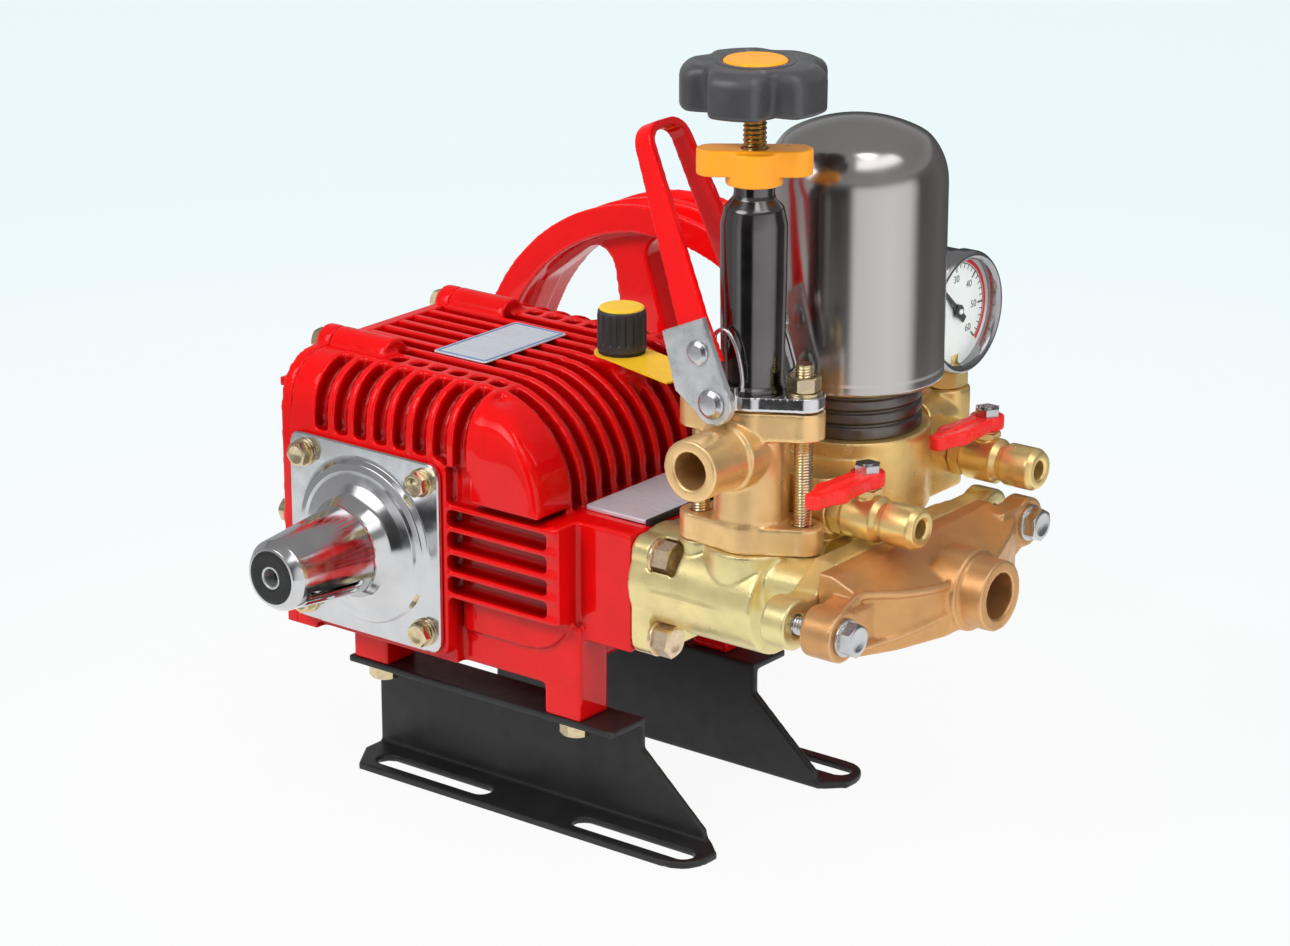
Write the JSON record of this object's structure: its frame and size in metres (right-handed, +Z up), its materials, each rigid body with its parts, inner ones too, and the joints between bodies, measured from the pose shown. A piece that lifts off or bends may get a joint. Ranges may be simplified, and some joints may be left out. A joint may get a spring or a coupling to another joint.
{
  "type": "pressure washer pump",
  "caption": "Belt-driven plunger pump on channel feet: finned red crankcase, brass liquid end, adjustable pressure regulator with lever, domed air chamber, gauge and outlet cocks.",
  "frame": {"origin": "middle of the four foot slots, on the underside of the feet", "axes": "+X along the plungers to the suction inlet, +Y along the crankshaft to the pulley, +Z up"},
  "size_m": [0.3955, 0.31, 0.3545],
  "materials": {
    "red_paint": "gloss enamel over a sand casting",
    "black_paint": "satin",
    "yellow_zinc": "yellow zinc plate",
    "bright_steel": "satin",
    "stainless": "polished",
    "chrome": "mirror",
    "zinc_grey": "dull zinc",
    "dark_steel": "oiled",
    "cast_brass": "fine sand casting",
    "bronze": "sand casting",
    "bright_brass": "turned",
    "rubber": "matt",
    "black_plastic": "satin",
    "orange_plastic": "gloss",
    "yellow_plastic": "satin",
    "red_plastic": "satin vinyl",
    "plate_metal": "satin, bare",
    "dial_white": "matt, plain numbers",
    "clear_glass": "clear",
    "needle_black": "matt"
  },
  "bodies": {
    "pump": {"crankcase": "red_paint", "rear_cover": "red_paint", "cover_bolts": "yellow_zinc", "oil_sight_glass": "clear_glass", "shaft_guard": "chrome", "crank_bearings": "bright_steel", "far_bearing_cover": "red_paint", "shaft_oil_seal": "rubber", "near_foot": "black_paint", "far_foot": "black_paint", "foot_bolts": "yellow_zinc", "name_plate": "plate_metal", "gland_cover_plate": "plate_metal", "filler_tag": "yellow_plastic", "packing_sets": "rubber", "packing_glands": "bright_brass", "manifold": "cast_brass", "manifold_bolts": "yellow_zinc", "suction_cover": "bronze", "suction_cover_bolts": "bright_steel", "pump_valves": "stainless", "discharge_block": "bronze", "chamber_neck": "dark_steel", "air_chamber": "stainless", "regulator_body": "bronze", "regulator_studs": "bright_steel", "regulator_flange_plate": "zinc_grey", "spring_housing": "chrome", "regulator_spring": "dark_steel", "gauge_case": "stainless", "gauge_dial": "dial_white", "gauge_lens": "clear_glass", "cock_bodies": "bright_brass"},
    "crank": {"crankshaft": "dark_steel", "pulley": "red_paint", "pulley_fixings": "bright_steel"},
    "regulator_seat": {"spring_seat": "dark_steel"},
    "regulator_screw": {"adjusting_screw": "bright_brass", "adjusting_knob": "black_plastic", "knob_cap": "orange_plastic"},
    "lock_nut": {"lock_nut": "orange_plastic"},
    "lever": {"lever_bail": "red_plastic", "lever_cheeks": "zinc_grey", "lever_pins": "bright_steel"},
    "near_cock": {"near_cock_handle": "red_plastic", "near_cock_stem": "bright_steel"},
    "far_cock": {"far_cock_handle": "red_plastic", "far_cock_stem": "bright_steel"},
    "needle": {"gauge_needle": "needle_black"},
    "filler_seal": {"oil_cap_seal": "rubber"},
    "filler_cap": {"oil_cap": "black_plastic"},
    "bush_1": {"big_end_bush_1": "bright_brass"},
    "plunger_1": {"connecting_rod_1": "dark_steel", "plunger_1": "stainless"},
    "bush_2": {"big_end_bush_2": "bright_brass"},
    "plunger_2": {"connecting_rod_2": "dark_steel", "plunger_2": "stainless"},
    "bush_3": {"big_end_bush_3": "bright_brass"},
    "plunger_3": {"connecting_rod_3": "dark_steel", "plunger_3": "stainless"}
  },
  "joints": [
    {"name": "crank_turn", "type": "hinge", "parent": "pump", "child": "crank", "pos_m": [-0.08, 0, 0.116], "axis": [0, 1, 0], "continuous": true},
    {"name": "bush_1_turn", "type": "hinge", "parent": "crank", "child": "bush_1", "pos_m": [-0.08, -0.04, 0.12], "axis": [0, 1, 0], "continuous": true},
    {"name": "plunger_1_carry", "type": "hinge", "parent": "bush_1", "child": "plunger_1", "pos_m": [-0.08, -0.04, 0.116], "axis": [0, 1, 0], "continuous": true},
    {"name": "bush_2_turn", "type": "hinge", "parent": "crank", "child": "bush_2", "pos_m": [-0.08346, 0, 0.114], "axis": [0, 1, 0], "continuous": true},
    {"name": "plunger_2_carry", "type": "hinge", "parent": "bush_2", "child": "plunger_2", "pos_m": [-0.08693, 0, 0.116], "axis": [0, 1, 0], "continuous": true},
    {"name": "bush_3_turn", "type": "hinge", "parent": "crank", "child": "bush_3", "pos_m": [-0.07654, 0.04, 0.114], "axis": [0, 1, 0], "continuous": true},
    {"name": "plunger_3_carry", "type": "hinge", "parent": "bush_3", "child": "plunger_3", "pos_m": [-0.07307, 0.04, 0.116], "axis": [0, 1, 0], "continuous": true},
    {"name": "seat_slide", "type": "slide", "parent": "pump", "child": "regulator_seat", "axis": [0, 0, -1], "range_m": [0, 0.008], "deforming": ["regulator_spring"]},
    {"name": "screw_turn", "type": "hinge", "parent": "regulator_seat", "child": "regulator_screw", "pos_m": [0.107, -0.041, 0.33], "axis": [0, 0, -1], "range_deg": [0, 1445]},
    {"name": "lock_nut_turn", "type": "hinge", "parent": "pump", "child": "lock_nut", "pos_m": [0.107, -0.041, 0.309], "axis": [0, 0, 1], "range_deg": [0, 120]},
    {"name": "lever_swing", "type": "hinge", "parent": "pump", "child": "lever", "pos_m": [0.1045, -0.041, 0.213], "axis": [0, -1, 0], "range_deg": [0, 60]},
    {"name": "near_cock_turn", "type": "hinge", "parent": "pump", "child": "near_cock", "pos_m": [0.149, -0.0165, 0.16], "axis": [0, 0, 1], "range_deg": [0, 90]},
    {"name": "far_cock_turn", "type": "hinge", "parent": "pump", "child": "far_cock", "pos_m": [0.149, 0.0745, 0.162], "axis": [0, 0, 1], "range_deg": [0, 90]},
    {"name": "needle_turn", "type": "hinge", "parent": "pump", "child": "needle", "pos_m": [0.115, 0.102, 0.2165], "axis": [-1, 0, 0], "range_deg": [0, 270]},
    {"name": "cap_lift", "type": "slide", "parent": "pump", "child": "filler_seal", "axis": [0, 0, 1], "range_m": [0, 0.0121]},
    {"name": "cap_turn", "type": "hinge", "parent": "filler_seal", "child": "filler_cap", "pos_m": [-0.011, 0.0205, 0.205], "axis": [0, 0, 1], "range_deg": [0, 1440]}
  ],
  "couplings": [
    {"joint": "bush_1_turn", "follows": "crank_turn", "ratio": -2},
    {"joint": "plunger_1_carry", "follows": "crank_turn", "ratio": 1},
    {"joint": "bush_2_turn", "follows": "crank_turn", "ratio": -2},
    {"joint": "plunger_2_carry", "follows": "crank_turn", "ratio": 1},
    {"joint": "bush_3_turn", "follows": "crank_turn", "ratio": -2},
    {"joint": "plunger_3_carry", "follows": "crank_turn", "ratio": 1},
    {"joint": "screw_turn", "follows": "seat_slide", "rad_per_m": 3141.6},
    {"joint": "cap_lift", "follows": "cap_turn", "m_per_rad": 0.00047746}
  ]
}
